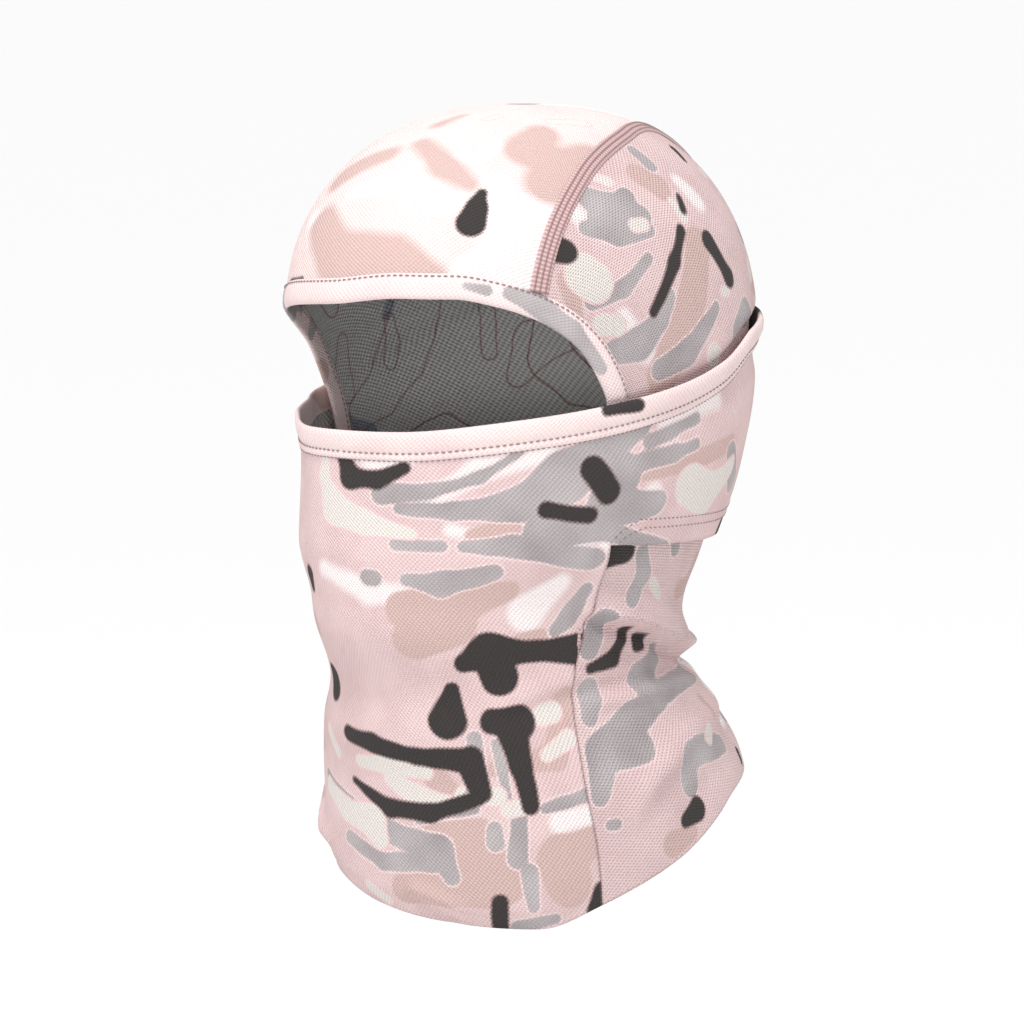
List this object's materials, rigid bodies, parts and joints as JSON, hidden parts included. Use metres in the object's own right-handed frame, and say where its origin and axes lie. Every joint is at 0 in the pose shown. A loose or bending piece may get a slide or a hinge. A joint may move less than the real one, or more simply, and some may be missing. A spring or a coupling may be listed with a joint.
{
  "type": "balaclava",
  "caption": "Stretch-knit hinged balaclava: bound hood with a face opening, pull-down mask with an ear band round the back, and a long neck.",
  "frame": {"origin": "middle of the wearer's head at its widest level, on the head's centre plane, where a head is held by the hood", "axes": "+Z towards the crown, -Z out through the neck, -Y the way the face looks, +X towards the wearer's left"},
  "size_m": [0.163, 0.203, 0.297],
  "materials": {
    "camo_knit": "matte knit with a printed camouflage",
    "binding_knit": "matte knit, pressed double",
    "flatlock_seam": "matte overlocked seam",
    "sewing_thread": "polyester thread, slight sheen"
  },
  "bodies": {
    "hood": {"crown_center_panel": "camo_knit", "crown_side_panel_left": "camo_knit", "crown_side_panel_right": "camo_knit", "crown_seam_left": "flatlock_seam", "crown_seam_right": "flatlock_seam", "crown_seam_thread_left_1": "sewing_thread", "crown_seam_thread_left_2": "sewing_thread", "crown_seam_thread_right_1": "sewing_thread", "crown_seam_thread_right_2": "sewing_thread", "brow_binding": "binding_knit", "brow_stitch": "sewing_thread", "ear_band_left": "camo_knit", "ear_band_right": "camo_knit", "ear_band_hem_left": "camo_knit", "ear_band_hem_right": "camo_knit", "ear_band_hem_stitch_left_1": "sewing_thread", "ear_band_hem_stitch_left_2": "sewing_thread", "ear_band_hem_stitch_right_1": "sewing_thread", "ear_band_hem_stitch_right_2": "sewing_thread", "mask_top_binding_back": "binding_knit", "mask_top_stitch_back": "sewing_thread", "ear_band_back_seam": "flatlock_seam", "neck_front_panel": "camo_knit", "neck_back_panel": "camo_knit", "neck_seam_left": "flatlock_seam", "neck_seam_right": "flatlock_seam", "nape_seam": "flatlock_seam"},
    "mask": {"mask_front_panel": "camo_knit", "mask_top_binding_front": "binding_knit", "mask_top_stitch_front": "sewing_thread"}
  },
  "joints": [
    {"name": "mask_pull_down", "type": "slide", "parent": "hood", "child": "mask", "axis": [0, 0, -1], "range_m": [0, 0.085], "deforming": ["ear_band_left", "ear_band_right", "ear_band_hem_left", "ear_band_hem_right", "ear_band_hem_stitch_left_1", "ear_band_hem_stitch_left_2", "ear_band_hem_stitch_right_1", "ear_band_hem_stitch_right_2", "mask_top_binding_back", "mask_top_stitch_back", "ear_band_back_seam", "neck_front_panel", "neck_seam_left", "neck_seam_right", "neck_back_panel"]}
  ]
}
